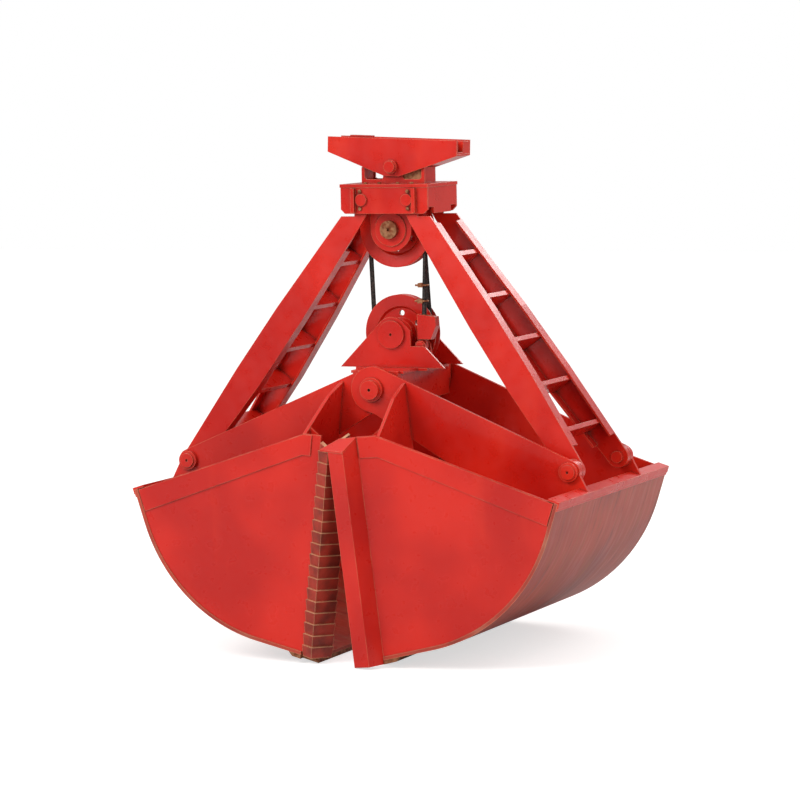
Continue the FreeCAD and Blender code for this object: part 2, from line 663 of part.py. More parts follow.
def arm_stringer():
    """The right arm's front stringer: a channel with an eye at each end."""
    outer, inner = arm_edges()
    neck = arm_local(HEAD_PIN_X + ARM_NECK, HEAD_PIN_Z)
    neck_low = arm_local(HEAD_PIN_X + ARM_NECK, HEAD_PIN_Z - ARM_SHOULDER_DROP)
    outline = [neck, neck_low] + outer + inner[::-1] + [(0.0, -ARM_TOP_EYE)]
    wire = Part.makePolygon([Vector(x, y, -ARM_PLATE) for x, y in outline + outline[:1]])
    web_plate = Part.Face(wire).extrude(Vector(0, 0, ARM_PLATE))
    strips = []
    for edge, side, start in ((outer, 1, outer[0][0] + 45), (inner, -1, INNER_FLANGE_START)):
        stops = [start] + [a for a, value in edge[1:3]] + [ARM_LENGTH - FLANGE_END]
        for a, b in zip(stops, stops[1:]):
            strips.append(edge_strip((a, edge_at(edge, a)), (b, edge_at(edge, b)), ARM_DEPTH, side))
    body = join([web_plate] + strips)
    body.Placement = arm_placement()
    top_boss = rod(HEAD_PIN_X, HEAD_PIN_Z, ARM_TOP_EYE, -ARM_TOP_FACE - HEAD_PIN_PROUD, -ARM_TOP_FACE + ARM_PLATE)
    foot_boss = rod(SHELL_PIN_X, SHELL_PIN_Z, ARM_EYE_RADIUS, -ARM_BOSS_FACE, -ARM_FOOT_FACE + ARM_PLATE)
    body = join([body, top_boss, foot_boss])
    bores = [rod(HEAD_PIN_X, HEAD_PIN_Z, ARM_TOP_BORE, -HEAD_WIDTH, 0),
             rod(SHELL_PIN_X, SHELL_PIN_Z, ARM_PIN_RADIUS + PIN_CLEARANCE, -ARM_BOSS_FACE - 9, 0)]
    return body.cut(bores)


def arm_rungs():
    """Flat rungs between the two stringers of the right arm."""
    rungs = []
    outer, inner = arm_edges()
    ux = (SHELL_PIN_X - HEAD_PIN_X) / ARM_LENGTH
    uz = (SHELL_PIN_Z - HEAD_PIN_Z) / ARM_LENGTH
    turn = degrees(atan2(-uz, ux))
    for index in range(RUNG_COUNT):
        along = RUNG_FIRST + index * RUNG_PITCH
        face = ARM_TOP_FACE + (ARM_FOOT_FACE - ARM_TOP_FACE) * (along - RUNG_PLATE / 2) / ARM_LENGTH
        half = face - ARM_PLATE - 0.1
        low = edge_at(inner, along) + ARM_FLANGE + RUNG_GAP
        high = edge_at(outer, along) - ARM_FLANGE - RUNG_GAP
        rung = box(-RUNG_PLATE / 2, RUNG_PLATE / 2, -half, half, low, high)
        rung.rotate(ORIGIN, Y, turn)
        rung.translate(Vector(HEAD_PIN_X + ux * along, 0, HEAD_PIN_Z + uz * along))
        rungs.append(rung)
    return rungs


def arm_nodes():
    stringers = both_faces(arm_stringer())
    rungs = arm_rungs()
    return {"right_arm_stringers": stringers, "right_arm_rungs": rungs,
            "left_arm_stringers": to_left(stringers), "left_arm_rungs": to_left(rungs)}


# ---- head --------------------------------------------------------------------------------------
def hex_head(x, y, z, radius):
    """A bolt head standing out of a face that looks to the front."""
    points = [(x + radius * cos(pi * k / 3), z + radius * sin(pi * k / 3)) for k in range(6)]
    return plate_xz(points, y - BOLT_HEAD, y)


def head_face_plate():
    """Front plate of the head box with its two keeper bars."""
    half = HEAD_LENGTH / 2
    y0 = -HEAD_WIDTH / 2
    y1 = y0 + HEAD_PLATE
    top = HEAD_PIN_Z + HEAD_ABOVE_PIN
    points = [(-half + HEAD_CHAMFER, HEAD_FLOOR), (half - HEAD_CHAMFER, HEAD_FLOOR),
              (half, HEAD_FLOOR + HEAD_CHAMFER), (half, top), (-half, top),
              (-half, HEAD_FLOOR + HEAD_CHAMFER)]
    plate = plate_xz(points, y0, y1)
    wide, deep, tall = KEEPER_SIZE
    bars = []
    for side in (-1, 1):
        x = side * KEEPER_X
        bars.append(box(x - wide / 2, x + wide / 2, y0 - deep, y0, HEAD_FLOOR + 6, HEAD_FLOOR + 6 + tall))
    bores = [rod(side * HEAD_PIN_X, HEAD_PIN_Z, HEAD_PIN_RADIUS, y0 - 9, y1 + 9) for side in (-1, 1)]
    return join([plate] + bars).cut(bores)


def head_side_plate():
    x1 = HEAD_LENGTH / 2
    x0 = x1 - HEAD_PLATE
    half = HEAD_WIDTH / 2 - HEAD_PLATE
    top = HEAD_PIN_Z + HEAD_ABOVE_PIN
    plate = box(x0, x1, -half, half, HEAD_FLOOR, top)
    notch = box(x0 - 1, x1 + 1, -half - 1, -HEAD_NOTCH_INNER, HEAD_FLOOR - 1, HEAD_FLOOR + HEAD_NOTCH_HEIGHT)
    return plate.cut([notch, mirrored(notch, Y)])


def head_top_plate():
    half_x = HEAD_LENGTH / 2 + HEAD_TOP_OVERHANG
    half_y = HEAD_WIDTH / 2 + HEAD_TOP_OVERHANG
    low = HEAD_DECK - HEAD_TOP_PLATE
    plate = box(-half_x, half_x, -half_y, half_y, low, HEAD_DECK)
    slot = box(LEAD_X - 24, LEAD_X + 40, LOWER_SHEAVE_Y - 26, LOWER_SHEAVE_Y + 26, low - 1, HEAD_DECK + 1)
    return plate.cut(slot)


def hanger():
    """Plate that hangs from the head's top and carries the upper shaft."""
    y0 = -HANGER_FACE
    y1 = -HANGER_FACE + HANGER_PLATE
    low = HEAD_DECK - HEAD_TOP_PLATE
    plate = box(-HANGER_RADIUS, HANGER_RADIUS, y0, y1, UPPER_SHAFT_Z, low)
    eye = rod(0, UPPER_SHAFT_Z, HANGER_RADIUS, y0, y1)
    boss = rod(0, UPPER_SHAFT_Z, HANGER_BOSS, y0 - 10, y0)
    return join([plate, eye, boss]).cut(rod(0, UPPER_SHAFT_Z, SHAFT_RADIUS, y0 - 11, y1 + 1))


def head_arm_pins():
    """Short pins at the arms' top eyes, which run clear of them."""
    pins = []
    outer = HEAD_WIDTH / 2 + HEAD_PIN_PROUD
    inner = ARM_TOP_FACE + HEAD_PIN_PROUD + 1
    for side in (-1, 1):
        pins += both_faces(rod(side * HEAD_PIN_X, HEAD_PIN_Z, HEAD_PIN_RADIUS, -outer, -inner))
    return pins


def head_bolts():
    """Keeper bolts beside the head pins and on the shaft's end caps."""
    bolts = []
    face = -HEAD_WIDTH / 2
    for side in (-1, 1):
        for rise in (BOLT_OFFSET, -BOLT_OFFSET):
            bolts += both_faces(hex_head(side * (HEAD_PIN_X + 8), face, HEAD_PIN_Z + rise, BOLT_RADIUS))
        for place in (-150, -60, 60, 150):
            bolts.append(Part.makeCylinder(BOLT_RADIUS, 9, Vector(place, side * 150, HEAD_DECK)))
    return bolts


def shaft(z, sheave_y, inner, outer, cap):
    """Shaft solid; inner and outer are the faces of the plates that hold it."""
    radius, thick = cap
    hub = HUB_WIDTH / 2 + FACE_CLEARANCE
    pieces = [rod(0, z, SHAFT_RADIUS, -outer - thick, outer + thick),
              rod(0, z, radius, -outer - thick, -outer),
              rod(0, z, radius, outer, outer + thick),
              rod(0, z, SPACER_RADIUS, -inner, sheave_y - hub),
              rod(0, z, SPACER_RADIUS, sheave_y + hub, inner)]
    return join(pieces).cut(rod(0, z, 8, -outer - thick - 1, -outer - thick + 14))


def sheave(y, z):
    """Grooved wheel turned about its shaft, and its bush."""
    half = SHEAVE_WIDTH / 2
    seat = ROPE_LINE_RADIUS - ROPE_RADIUS - ROPE_SEAT_GAP
    rim_in = seat - 22
    groove = ROPE_RADIUS + 3
    bore = SHAFT_RADIUS + BUSH_WALL
    hub = HUB_WIDTH / 2
    web_half = SHEAVE_WEB / 2
    outline = [(-hub, bore), (-hub, HUB_RADIUS), (-web_half, HUB_RADIUS + 12), (-web_half, rim_in),
               (-half + 8, rim_in + 14), (-half, SHEAVE_RADIUS - 8), (-half, SHEAVE_RADIUS),
               (SHEAVE_LIP - half, SHEAVE_RADIUS), (-groove, ROPE_LINE_RADIUS - 3),
               (-groove * 0.6, seat + 3.5), (-4, seat)]
    ring = outline + [(-a, r) for a, r in reversed(outline)]
    wire = Part.makePolygon([Vector(0, y + a, z + r) for a, r in ring + ring[:1]])
    wheel = Part.Face(wire).revolve(Vector(0, 0, z), Y, 360)
    holes = []
    mid = (HUB_RADIUS + 12 + rim_in) / 2
    for k in range(6):
        angle = pi * k / 3 + pi / 6
        holes.append(rod(mid * cos(angle), z + mid * sin(angle), 17, y - half, y + half))
    wheel = wheel.cut(holes)
    inner = SHAFT_RADIUS + PIN_CLEARANCE
    bush = rod(0, z, bore, y - hub, y + hub).cut(rod(0, z, inner, y - hub - 1, y + hub + 1))
    return [wheel], [bush]


# ---- closing rope --------------------------------------------------------------------------------
def rope_run(a, b, radius=ROPE_RADIUS):
    """A straight rope stretch with level ends."""
    circle = Part.Wire(Part.makeCircle(radius, a, Z))
    other = Part.Wire(Part.makeCircle(radius, b, Z))
    return Part.makeLoft([circle, other], True, True)


def rope_wrap(y, z, upward):
    """Half a turn of rope over or under a sheave."""
    start = Vector(-ROPE_LINE_RADIUS, y, z)
    circle = Part.Face(Part.Wire(Part.makeCircle(ROPE_RADIUS, start, Z)))
    return circle.revolve(Vector(0, y, z), Y if upward else -Y, 180)


def rope_nodes():
    radius = ROPE_LINE_RADIUS
    upper = [Vector(side * radius, UPPER_SHEAVE_Y, UPPER_SHAFT_Z) for side in (-1, 1)]
    lower = [Vector(side * radius, LOWER_SHEAVE_Y, LOWER_SHAFT_Z) for side in (-1, 1)]
    socket_top = Vector(radius, SOCKET_Y, HINGE_Z + SOCKET_PIN[1] + 40 + SOCKET_HEIGHT)
    lead = Vector(LEAD_X, LOWER_SHEAVE_Y, ROLLER_Z + ROLLER_RADIUS)
    return {
        "closing_rope_upper_wrap": [rope_wrap(UPPER_SHEAVE_Y, UPPER_SHAFT_Z, True)],
        "closing_rope_lower_wrap": [rope_wrap(LOWER_SHEAVE_Y, LOWER_SHAFT_Z, False)],
        "closing_rope_rising_span": [rope_run(lower[0], upper[0])],
        "closing_rope_dead_span": [rope_run(socket_top, upper[1])],
        "closing_rope_lead_span": [rope_run(lower[1], lead)],
    }


# ---- stand for the balance beam --------------------------------------------------------------------
def stand_plate():
    """Plate with windows and a lug for the beam pin."""
    half = STAND_LENGTH / 2
    y0 = -STAND_FACE
    y1 = -STAND_FACE + STAND_PLATE
    top = HEAD_DECK + STAND_HEIGHT
    plate = plate_xz([(-half, HEAD_DECK), (half, HEAD_DECK), (half, top - 18), (half - 18, top),
                      (-half + 18, top), (-half, top - 18)], y0, y1)
    eye = rod(0, BEAM_PIN_Z, STAND_LUG_RADIUS, y0, y1)
    cuts = []
    for side in (-1, 1):
        inner = STAND_LUG_RADIUS + 8
        outer = half - 20
        x0, x1 = sorted((side * inner, side * outer))
        window = box(x0, x1, y0 - 1, y1 + 1, HEAD_DECK + STAND_SILL, top - 12)
        upright = [e for e in window.Edges if abs(e.tangentAt(e.FirstParameter).y) > 0.9]
        cuts.append(window.makeFillet(16, upright))
    body = join([plate, eye]).cut(cuts)
    pin = rod(0, BEAM_PIN_Z, BEAM_PIN_RADIUS, y0 - 1, y1 + 1)
    return body.cut(pin)


def stand_walls():
    half = STAND_LENGTH / 2
    depth = STAND_FACE - STAND_PLATE
    top = HEAD_DECK + STAND_HEIGHT - 18
    return [box(half - STAND_PLATE, half, -depth, depth, HEAD_DECK, top),
            box(-half, -half + STAND_PLATE, -depth, depth, HEAD_DECK, top)]


def roller_places():
    apart = ROLLER_RADIUS + ROPE_RADIUS + ROLLER_ROPE_GAP
    return {"inner": LEAD_X - apart, "outer": LEAD_X + apart}


def roller_nodes():
    """Guide rollers, and their pins on two bracket plates inside the stand."""
    nodes = {}
    half = ROLLER_LENGTH / 2
    depth = STAND_FACE - STAND_PLATE
    places = roller_places()
    bracket = box(places["inner"] - ROLLER_RADIUS, places["outer"] + ROLLER_RADIUS, -depth,
                  -half - FACE_CLEARANCE, HEAD_DECK, ROLLER_Z + ROLLER_RADIUS)
    carrier = [bracket, mirrored(bracket, Y)]
    for name, x in places.items():
        body = rod(x, ROLLER_Z, ROLLER_RADIUS, -half, half)
        nodes["guide_roller_" + name] = [body.cut(rod(x, ROLLER_Z, ROLLER_PIN_RADIUS + PIN_CLEARANCE, -half - 1,
                                                      half + 1))]
        carrier.append(rod(x, ROLLER_Z, ROLLER_PIN_RADIUS, -depth, depth))
    nodes["guide_roller_pins"] = [join(carrier)]
    return nodes


# ---- balance beam -------------------------------------------------------------------------------------
def beam_profile():
    """Outline of a beam plate about its pin, level."""
    half = BEAM_LENGTH / 2
    low = BEAM_TOP - BEAM_END_HEIGHT
    flat = BEAM_FLAT / 2
    return [(-half, BEAM_TOP), (half, BEAM_TOP), (half, low), (flat, -BEAM_BOTTOM),
            (-flat, -BEAM_BOTTOM), (-half, low)]


def beam_low_edge(x):
    """Height of the beam plate's lower edge at x, outside its flat."""
    half = BEAM_LENGTH / 2
    flat = BEAM_FLAT / 2
    low = BEAM_TOP - BEAM_END_HEIGHT
    return -BEAM_BOTTOM + (low + BEAM_BOTTOM) * (x - flat) / (half - flat)


def beam_nodes():
    half = BEAM_LENGTH / 2
    inner = BEAM_FACE - BEAM_PLATE
    front = plate_xz(beam_profile(), -BEAM_FACE, -inner)
    front = front.cut(rod(0, 0, BEAM_PIN_RADIUS + PIN_CLEARANCE, -BEAM_FACE - 1, -inner + 1))
    low = beam_low_edge(half)
    x0 = FLOOR_INNER_X
    floor = plate_xz([(x0, beam_low_edge(x0)), (half, low), (half, low + FLOOR_PLATE),
                      (x0, beam_low_edge(x0) + FLOOR_PLATE)], -inner, inner)
    block = plate_xz([(half - 60, low + FLOOR_PLATE), (half, low + FLOOR_PLATE), (half, BEAM_TOP - 6),
                      (half - 60, BEAM_TOP - 6)], -inner, inner)
    pocket = box(half - 44, half + 1, -inner + 4, -6, low + FLOOR_PLATE + 12, BEAM_TOP)
    block = block.cut(pocket)
    wedge = plate_xz([(half - 290, low + 40), (half - 120, low + 14), (half - 120, BEAM_TOP - 34),
                      (half - 290, BEAM_TOP - 26)], -inner, inner)
    rope_way = box(half - 300, half - 110, -WEDGE_ROPE_GAP / 2, WEDGE_ROPE_GAP / 2, low, low + 44)
    wedge = wedge.cut(rope_way)
    clip = box(half - 270, half - 130, -inner + 20, -20, BEAM_TOP - 34, BEAM_TOP + 12)
    nodes = {
        "balance_beam_front_plate": [front],
        "balance_beam_rear_plate": [mirrored(front, Y)],
        "balance_beam_floors": [floor, mirrored(floor, X)],
        "balance_beam_end_blocks": [block, half_turn(block)],
        "holding_rope_sockets": [wedge, mirrored(wedge, X), mirrored(clip, X)],
    }
    for name, shapes in nodes.items():
        nodes[name] = [tilted(shape) for shape in shapes]
    return nodes


def half_turn(shape):
    copy = shape.copy()
    copy.rotate(ORIGIN, Z, 180)
    return copy


def tilted(shape):
    copy = shape.copy()
    copy.rotate(ORIGIN, Y, BEAM_TILT)
    copy.translate(Vector(0, 0, BEAM_PIN_Z))
    return copy


def beam_pin():
    face = BEAM_FACE + FACE_CLEARANCE
    collar_radius, collar = BEAM_COLLAR
    cap_radius, cap = BEAM_CAP
    end = face + collar + cap
    pieces = [rod(0, BEAM_PIN_Z, BEAM_PIN_RADIUS, -end, end)]
    for side in (-1, 1):
        y0, y1 = sorted((side * face, side * (face + collar)))
        pieces.append(rod(0, BEAM_PIN_Z, collar_radius, y0, y1))
        y0, y1 = sorted((side * (face + collar), side * end))
        pieces.append(rod(0, BEAM_PIN_Z, cap_radius, y0, y1))
    return [join(pieces)]


# ---- lower crosshead and block ---------------------------------------------------------------------------
def crosshead():
    """Hollow box girder along the hinge axis, with the socket's lugs on top."""
    half = CROSSHEAD_LENGTH / 2
    end = LUG_FACE - LUG_PLATE
    top = HINGE_Z + CROSSHEAD_TOP
    low = HINGE_Z - CROSSHEAD_BOTTOM
    girder = box(-half + 24, half - 24, -end, end, low, top - CROSSHEAD_PLATE)
    hollow = box(-half + 24 + CROSSHEAD_PLATE, half - 24 - CROSSHEAD_PLATE, -end - 1, end + 1,
                 low + CROSSHEAD_PLATE, top)
    deck = box(-CHEEK_BASE - 8, CHEEK_BASE + 8, -CHEEK_FACE - 14, CHEEK_FACE + 14, top - CROSSHEAD_PLATE, top)
    ends = box(-half, half, -end, end, top - CROSSHEAD_PLATE, top)
    girder = join([girder.cut(hollow), deck, ends])
    pin_x, pin_rise = SOCKET_PIN
    lug_y = SOCKET_Y - SOCKET_DEPTH / 2 - SOCKET_LUG_GAP - SOCKET_LUG_PLATE
    pin_z = HINGE_Z + pin_rise
    lugs = []
    for y in (lug_y, SOCKET_Y + SOCKET_DEPTH / 2 + SOCKET_LUG_GAP):
        y1 = y + SOCKET_LUG_PLATE
        lugs.append(plate_xz([(pin_x - 48, top), (pin_x + 48, top), (pin_x + 34, pin_z), (pin_x - 34, pin_z)],
                             y, y1))
        lugs.append(rod(pin_x, pin_z, 34, y, y1))
    body = join([girder] + lugs)
    sunk = SHEAVE_RADIUS + SHEAVE_ROOM
    chord = (sunk ** 2 - (LOWER_SHAFT_Z - top) ** 2) ** 0.5
    wide = SHEAVE_WIDTH / 2 + SHEAVE_ROOM
    slot = box(-chord, chord, LOWER_SHEAVE_Y - wide, LOWER_SHEAVE_Y + wide, top - CROSSHEAD_PLATE - 1, top + 1)
    pin_bore = rod(pin_x, pin_z, SOCKET_PIN_RADIUS, lug_y - 1, lug_y + SOCKET_DEPTH + 60)
    return [body.cut([slot, pin_bore])]


def hinge_lug():
    """End plate of the crosshead with the hinge eye."""
    y0 = -LUG_FACE
    y1 = -LUG_FACE + LUG_PLATE
    half = CROSSHEAD_LENGTH / 2 - 24
    top = HINGE_Z + CROSSHEAD_TOP
    plate = box(-half, half, y0, y1, HINGE_Z, top)
    eye = rod(0, HINGE_Z, LUG_RADIUS, y0, y1)
    skirt = plate_xz([(-half, HINGE_Z), (half, HINGE_Z), (LUG_RADIUS * 0.6, HINGE_Z - LUG_RADIUS * 0.8),
                      (-LUG_RADIUS * 0.6, HINGE_Z - LUG_RADIUS * 0.8)], y0, y1)
    return join([plate, eye, skirt]).cut(rod(0, HINGE_Z, HINGE_PIN_RADIUS, y0 - 1, y1 + 1))


def hinge_pins():
    """Main hinge pins with collar and cap outside the webs."""
    start = -LUG_FACE + LUG_PLATE
    face = -OUTER_WEB_FACE - FACE_CLEARANCE
    collar = face - 20
    pin = join([rod(0, HINGE_Z, HINGE_PIN_RADIUS, collar, start),
                rod(0, HINGE_Z, HINGE_COLLAR_RADIUS, collar, face),
                rod(0, HINGE_Z, HINGE_CAP_RADIUS, collar - 26, collar)])
    return both_faces(pin.cut(rod(0, HINGE_Z, 9, collar - 27, collar - 8)))


def cheek(front):
    """Side plate of the lower block; the front one is cut back for the socket."""
    y0 = -CHEEK_FACE
    y1 = -CHEEK_FACE + CHEEK_PLATE
    base = HINGE_Z + CROSSHEAD_TOP
    outline = link_outline((0, LOWER_SHAFT_Z), CHEEK_RADIUS, (0, base - 60), CHEEK_BASE + 62)
    left = outline[:2]
    right = outline[3], outline[2]
    slope = (left[1][0] - left[0][0]) / (left[1][1] - left[0][1])
    foot_x = left[0][0] + (base - left[0][1]) * slope
    reach = abs(foot_x)
    points = [(-reach, base), (reach, base), (abs(right[0][0]), right[0][1]), (-abs(left[0][0]), left[0][1])]
    body = join([plate_xz(points, y0, y1), rod(0, LOWER_SHAFT_Z, CHEEK_RADIUS, y0, y1)])
    if front:
        body = body.cut(box(CHEEK_STEP, 400, y0 - 1, y1 + 1, LOWER_SHAFT_Z - 70, LOWER_SHAFT_Z + 300))
    body = body.cut(rod(0, LOWER_SHAFT_Z, SHAFT_RADIUS, y0 - 1, y1 + 1))
    return body if front else mirrored(body, Y)


def wedge_socket():
    """Rope socket on its pin, the pin, and the wedge inside."""
    pin_x, pin_rise = SOCKET_PIN
    pin_z = HINGE_Z + pin_rise
    low = pin_z + 40
    top = low + SOCKET_HEIGHT
    x0 = ROPE_LINE_RADIUS - ROPE_RADIUS - SOCKET_WALL - 6
    x1 = x0 + SOCKET_WIDTH
    y0 = SOCKET_Y - SOCKET_DEPTH / 2
    y1 = SOCKET_Y + SOCKET_DEPTH / 2
    shell = plate_xz([(x0, top), (x1, top - 14), (x1 + 4, top - 70), (x1 - 30, low), (x0, low)], y0, y1)
    tongue = plate_xz([(pin_x - 28, low), (pin_x + 28, low), (pin_x + 28, pin_z), (pin_x - 28, pin_z)],
                      y0 + 14, y1 - 14)
    tongue_eye = rod(pin_x, pin_z, 28, y0 + 14, y1 - 14)
    body = join([shell, tongue, tongue_eye])
    pocket = plate_xz([(x0 + SOCKET_WALL, top + 1), (x1 - SOCKET_WALL, top + 1), (x1 - SOCKET_WALL, top - 60),
                       (x1 - 50, low + 12), (x0 + SOCKET_WALL, low + 12)], y0 + 12, y1 - 12)
    hole = rod(pin_x, pin_z, SOCKET_PIN_RADIUS + 1, y0, y1)
    body = body.cut([pocket, hole])
    wx = x0 + SOCKET_WALL + 2 * ROPE_RADIUS + 6
    wedge = plate_xz([(wx + 4, top - 6), (x1 - SOCKET_WALL - 3, top - 20), (x1 - 55, low + 16), (wx, low + 16)],
                     y0 + 13, y1 - 13)
    stub = Part.makeCylinder(ROPE_RADIUS, SOCKET_HEIGHT - 20, Vector(ROPE_LINE_RADIUS, SOCKET_Y, low + 20))
    reach = SOCKET_DEPTH / 2 + SOCKET_LUG_GAP + SOCKET_LUG_PLATE
    pin = join([rod(pin_x, pin_z, SOCKET_PIN_RADIUS, SOCKET_Y - reach, SOCKET_Y + reach),
                rod(pin_x, pin_z, SOCKET_PIN_RADIUS + 8, SOCKET_Y - reach - 8, SOCKET_Y - reach)])
    return {"wedge_socket": [body], "wedge_socket_wedge": [wedge, stub], "wedge_socket_pin": [pin]}


def rope_clips():
    """Clips on the dead rope end: saddle, bow and two nuts each."""
    clips = []
    upper = Vector(ROPE_LINE_RADIUS, UPPER_SHEAVE_Y, UPPER_SHAFT_Z)
    low = Vector(ROPE_LINE_RADIUS, SOCKET_Y, HINGE_Z + SOCKET_PIN[1] + 40 + SOCKET_HEIGHT)
    for rise in CLIP_RISE:
        z = HINGE_Z + rise
        y = low.y + (upper.y - low.y) * (z - low.z) / (upper.z - low.z)
        x = ROPE_LINE_RADIUS
        gap = ROPE_RADIUS + CLIP_GAP
        saddle = box(x - gap - 20, x - 2, y - gap - 14, y + gap + 14, z - 13, z + 13)
        saddle = saddle.cut(rope_run(low, upper, gap))
        reach = gap + CLIP_ROD + 1
        bow = Part.makeTorus(reach, CLIP_ROD, ORIGIN, Z, -180, 180, 180)
        bow.rotate(ORIGIN, Z, -90)
        bow.translate(Vector(x, y, z))
        legs = [Part.makeCylinder(CLIP_ROD, gap + 38, Vector(x - gap - 38, y + side * reach, z), X)
                for side in (-1, 1)]
        clips.append(join([saddle, bow] + legs))
    return clips


# ---- assembly ------------------------------------------------------------------------------------------------
def head_nodes():
    upper_shaft = shaft(UPPER_SHAFT_Z, UPPER_SHEAVE_Y, HANGER_FACE - HANGER_PLATE, HANGER_FACE + 10, UPPER_CAP)
    front = head_face_plate()
    side = head_side_plate()
    return {
        "head_front_plate": [front],
        "head_rear_plate": [mirrored(front, Y)],
        "head_side_plates": [side, mirrored(side, X)],
        "head_top_plate": [head_top_plate()],
        "sheave_hangers": both_faces(hanger()),
        "head_arm_pins": head_arm_pins(),
        "head_bolts": head_bolts(),
        "upper_sheave_shaft": [upper_shaft],
        "balance_beam_stand_plates": both_faces(stand_plate()),
        "balance_beam_stand_walls": stand_walls(),
        "balance_beam_pin": beam_pin(),
    }


def lower_nodes():
    lower_shaft = shaft(LOWER_SHAFT_Z, LOWER_SHEAVE_Y, CHEEK_FACE - CHEEK_PLATE, CHEEK_FACE, LOWER_CAP)
    nodes = {
        "lower_crosshead": crosshead(),
        "crosshead_hinge_lugs": both_faces(hinge_lug()),
        "main_hinge_pins": hinge_pins(),
        "lower_block_front_cheek": [cheek(True)],
        "lower_block_rear_cheek": [cheek(False)],
        "lower_sheave_shaft": [lower_shaft],
        "rope_clips": rope_clips(),
    }
    nodes.update(wedge_socket())
    return nodes


def sheave_nodes():
    nodes = {}
    for name, y, z in (("upper", UPPER_SHEAVE_Y, UPPER_SHAFT_Z), ("lower", LOWER_SHEAVE_Y, LOWER_SHAFT_Z)):
        wheel, bush = sheave(y, z)
        nodes[name + "_sheave"] = wheel
        nodes[name + "_sheave_bush"] = bush
    return nodes


def export(nodes):
    for name, shapes in nodes.items():
        shape = shapes[0] if len(shapes) == 1 else Part.makeCompound(shapes)
        shape.exportStep("parts/" + name + ".step")


for group in (shell_nodes(), arm_nodes(), head_nodes(), sheave_nodes(), rope_nodes(), roller_nodes(),
              beam_nodes(), lower_nodes()):
    export(group)
print("hinge height", round(HINGE_Z, 2), "arm length", round(ARM_LENGTH, 2))
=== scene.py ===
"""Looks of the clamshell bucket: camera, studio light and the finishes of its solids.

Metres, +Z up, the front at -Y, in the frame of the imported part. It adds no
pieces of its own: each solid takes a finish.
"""
import json
from math import cos, sin

import bpy
from mathutils import Matrix, Vector

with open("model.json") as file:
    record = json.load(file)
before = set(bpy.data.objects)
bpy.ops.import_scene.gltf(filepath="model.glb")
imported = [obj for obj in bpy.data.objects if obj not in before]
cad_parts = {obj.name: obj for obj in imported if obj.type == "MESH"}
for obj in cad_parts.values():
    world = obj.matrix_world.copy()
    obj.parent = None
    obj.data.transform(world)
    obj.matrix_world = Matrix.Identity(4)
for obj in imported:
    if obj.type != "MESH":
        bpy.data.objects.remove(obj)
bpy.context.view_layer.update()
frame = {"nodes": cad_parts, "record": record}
NODES = frame["nodes"]

# ---- camera and light -------------------------------------------------------
CAMERA_PLACE = (8.5551, -19.3575, 3.5048)
CAMERA_YAW = 0.417          # radians, left of straight along +Y
CAMERA_PITCH = 0.096        # down
CAMERA_ROLL = -0.02
CAMERA_LENS = 158.78        # mm on a 36 mm sensor
FLOOR_SIZE = 80.0
FLOOR_DROP = 0.002          # keeps the floor off the lips' undersides

GRAB_MIDDLE = (0.0, 0.0, 1.4)
LIGHTS = (                  # name, place, target, size, power in watts
    ("key", (-5.5, -9.0, 8.5), GRAB_MIDDLE, (6.0, 6.0), 900.0),
    ("fill", (9.0, -7.0, 4.0), GRAB_MIDDLE, (5.0, 5.0), 250.0),
    ("back", (3.0, 8.0, 7.0), (0.0, 0.0, 1.6), (6.0, 4.0), 350.0),
)
FLOOR_COLOUR = (0.62, 0.62, 0.61)
FLOOR_GLOW = 0.62           # added where the camera sees the floor
HORIZON = (0.30, 0.29, 0.28)
SKY = (0.80, 0.80, 0.80)
SKY_FROM = 0.7              # the sky is even from here up
WHITE = (1.0, 1.0, 1.0)

# ---- colours, linear ----------------------------------------------------------
RED = (0.68, 0.018, 0.008)
DEEP_RED = (0.50, 0.008, 0.004)
SUN_RED = (0.80, 0.045, 0.015)
# lighter edge colour: partly rubbed paint, partly a painted highlight
LIT_RUBBED_EDGE_COLOUR = (0.85, 0.36, 0.20)
# painted shade for the corners where faces meet
CORNER_SHADE = (0.060, 0.020, 0.012)
# rolled plates: the brown tint is partly dust, partly a painted reflection of brown ground and painted
# shade
PLATE_RED = (0.47, 0.05, 0.022)
PLATE_DEEP = (0.30, 0.022, 0.012)
# brown patches: partly rubbed paint, partly a painted reflection of brown ground
PLATE_BROWN_RUB_AND_REFLECTION = (0.40, 0.13, 0.075)
# colour of the dark streaks on the rolled plates
PLATE_DARK_STREAK = (0.10, 0.018, 0.010)
STEEL = (0.42, 0.20, 0.10)
RUST = (0.20, 0.05, 0.02)
BRONZE = (0.55, 0.32, 0.12)
GREASE = (0.012, 0.010, 0.010)
WIRE = (0.075, 0.05, 0.04)
TOOTH_RED = (0.40, 0.035, 0.018)
TOOTH_DARK = (0.16, 0.018, 0.010)
# tan: worn steel on the tooth tops, and a painted highlight on upward faces and edges
TOOTH_TAN = (0.62, 0.32, 0.17)

# ---- finishes: sizes in metres --------------------------------------------------
LIT_RUBBED_EDGE_WIDTH = 0.005           # width of the lighter edges: rubbed paint with a painted highlight
# width of the teeth's lighter edges: rubbed paint and a painted highlight
TOOTH_RUB_AND_HIGHLIGHT = 0.006
ROUND_EDGE = 0.004          # edges look rounded by this much
CORNER_SHADE_REACH = 0.05              # how far the painted shade reaches out of a corner
